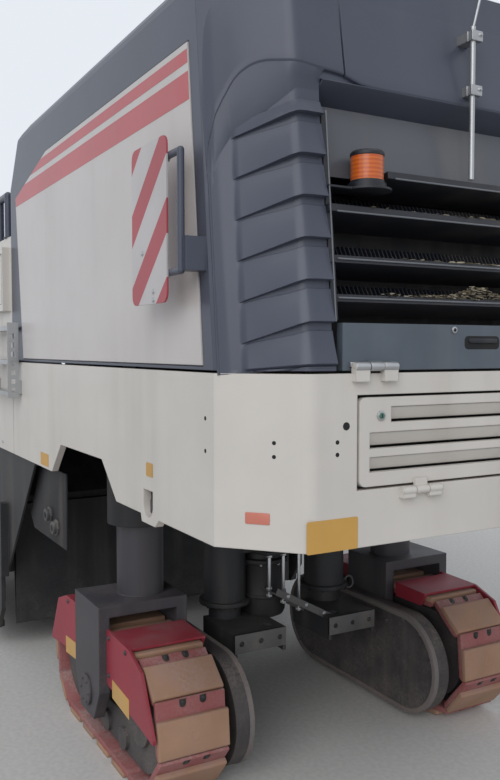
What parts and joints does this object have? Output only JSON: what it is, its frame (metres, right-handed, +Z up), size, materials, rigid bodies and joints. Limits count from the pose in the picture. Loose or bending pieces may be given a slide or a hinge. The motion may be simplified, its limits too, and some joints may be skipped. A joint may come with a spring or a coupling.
{
  "type": "cold planer",
  "caption": "Front-loading cold planer on four steered crawler tracks, with milling drum, engine hood, operator platform and slewing loading conveyor.",
  "frame": {"origin": "on the ground under the middle of the machine's overall box", "axes": "+X points forward to the loading conveyor's head, +Y to the machine's left, +Z up"},
  "size_m": [15.0644, 2.312, 3.1445],
  "materials": {
    "dark_paint": "gloss",
    "cream_paint": "gloss",
    "red_paint": "satin",
    "frame_paint": "satin",
    "striped_board": "satin",
    "amber_lens": "gloss",
    "galvanised": "satin",
    "drum_steel": "rough",
    "track_pads": "matte",
    "belt_rubber": "matte",
    "rod_chrome": "polished",
    "seat_cover": "matte"
  },
  "bodies": {
    "machine": {"main_frame": "frame_paint", "rear_body": "cream_paint", "engine_block": "frame_paint", "rear_brackets": "frame_paint", "platform_deck": "frame_paint", "platform_walls": "cream_paint", "rails": "dark_paint", "ladders": "galvanised", "consoles": "dark_paint", "seats": "seat_cover", "front_body": "cream_paint", "water_tank": "dark_paint", "drum_housing": "frame_paint", "primary_conveyor": "frame_paint"},
    "hood": {"hood": "dark_paint", "side_panels": "cream_paint", "warning_boards": "striped_board", "beacon_pole": "galvanised", "grille": "dark_paint", "beacon": "amber_lens"},
    "rear_flap": {"rear_flap": "dark_paint"},
    "louvre_flap": {"louvre_flap": "cream_paint"},
    "milling_drum": {"milling_drum": "drum_steel"},
    "side_plate_left": {"side_plate_left": "frame_paint"},
    "side_plate_right": {"side_plate_right": "frame_paint"},
    "track_rear_left": {"yoke_rear_left": "dark_paint", "track_frame_rear_left": "frame_paint", "track_cover_rear_left": "red_paint", "track_shoes_rear_left": "track_pads"},
    "track_rear_right": {"yoke_rear_right": "dark_paint", "track_frame_rear_right": "frame_paint", "track_cover_rear_right": "red_paint", "track_shoes_rear_right": "track_pads"},
    "track_front_left": {"yoke_front_left": "dark_paint", "track_frame_front_left": "frame_paint", "track_cover_front_left": "red_paint", "track_shoes_front_left": "track_pads"},
    "track_front_right": {"yoke_front_right": "dark_paint", "track_frame_front_right": "frame_paint", "track_cover_front_right": "red_paint", "track_shoes_front_right": "track_pads"},
    "conveyor_turret": {"conveyor_turret": "dark_paint"},
    "loading_conveyor": {"loading_conveyor": "cream_paint", "conveyor_belt": "belt_rubber"},
    "lift_barrels": {"lift_barrels": "dark_paint"},
    "lift_rods": {"lift_rods": "rod_chrome"}
  },
  "joints": [
    {"name": "steer_rear_left", "type": "hinge", "parent": "machine", "child": "track_rear_left", "pos_m": [-5.86819, 0.74, 0.9], "axis": [0, 0, 1], "range_deg": [-15, 15]},
    {"name": "steer_rear_right", "type": "hinge", "parent": "machine", "child": "track_rear_right", "pos_m": [-5.86819, -0.74, 0.9], "axis": [0, 0, 1], "range_deg": [-15, 15]},
    {"name": "steer_front_left", "type": "hinge", "parent": "machine", "child": "track_front_left", "pos_m": [-1.26819, 0.74, 0.9], "axis": [0, 0, 1], "range_deg": [-15, 15]},
    {"name": "steer_front_right", "type": "hinge", "parent": "machine", "child": "track_front_right", "pos_m": [-1.26819, -0.74, 0.9], "axis": [0, 0, 1], "range_deg": [-15, 15]},
    {"name": "drum_spin", "type": "hinge", "parent": "machine", "child": "milling_drum", "pos_m": [-3.55819, 0, 0.67], "axis": [0, 1, 0], "continuous": true},
    {"name": "plate_left_slide", "type": "slide", "parent": "machine", "child": "side_plate_left", "axis": [0, 0, 1], "range_m": [-0.1, 0.25]},
    {"name": "plate_right_slide", "type": "slide", "parent": "machine", "child": "side_plate_right", "axis": [0, 0, 1], "range_m": [-0.1, 0.25]},
    {"name": "hood_lift", "type": "hinge", "parent": "machine", "child": "hood", "pos_m": [-4.85319, 0, 2.64], "axis": [0, 1, 0], "range_deg": [0, 45]},
    {"name": "rear_flap_hinge", "type": "hinge", "parent": "machine", "child": "rear_flap", "pos_m": [-7.52019, 0, 1.789], "axis": [0, -1, 0], "range_deg": [0, 90]},
    {"name": "louvre_flap_hinge", "type": "hinge", "parent": "machine", "child": "louvre_flap", "pos_m": [-7.52019, 0, 1.414], "axis": [0, -1, 0], "range_deg": [0, 100]},
    {"name": "conveyor_slew", "type": "hinge", "parent": "machine", "child": "conveyor_turret", "pos_m": [-0.06819, 0, 0.828], "axis": [0, 0, 1], "range_deg": [-45, 45]},
    {"name": "conveyor_lift", "type": "hinge", "parent": "conveyor_turret", "child": "loading_conveyor", "pos_m": [-0.06819, 0, 1.15], "axis": [0, -1, 0], "range_deg": [-8, 12]},
    {"name": "barrel_swing", "type": "hinge", "parent": "conveyor_turret", "child": "lift_barrels", "pos_m": [0.12181, 0, 2.4], "axis": [0, -1, 0], "range_deg": [-7.5, 11]},
    {"name": "rod_slide", "type": "slide", "parent": "lift_barrels", "child": "lift_rods", "axis": [0.9253, 0, -0.3793], "range_m": [-0.26, 0.175]}
  ],
  "couplings": [
    {"joint": "barrel_swing", "follows": "conveyor_lift", "ratio": 0.88},
    {"joint": "rod_slide", "follows": "conveyor_lift", "m_per_rad": -1.23}
  ]
}
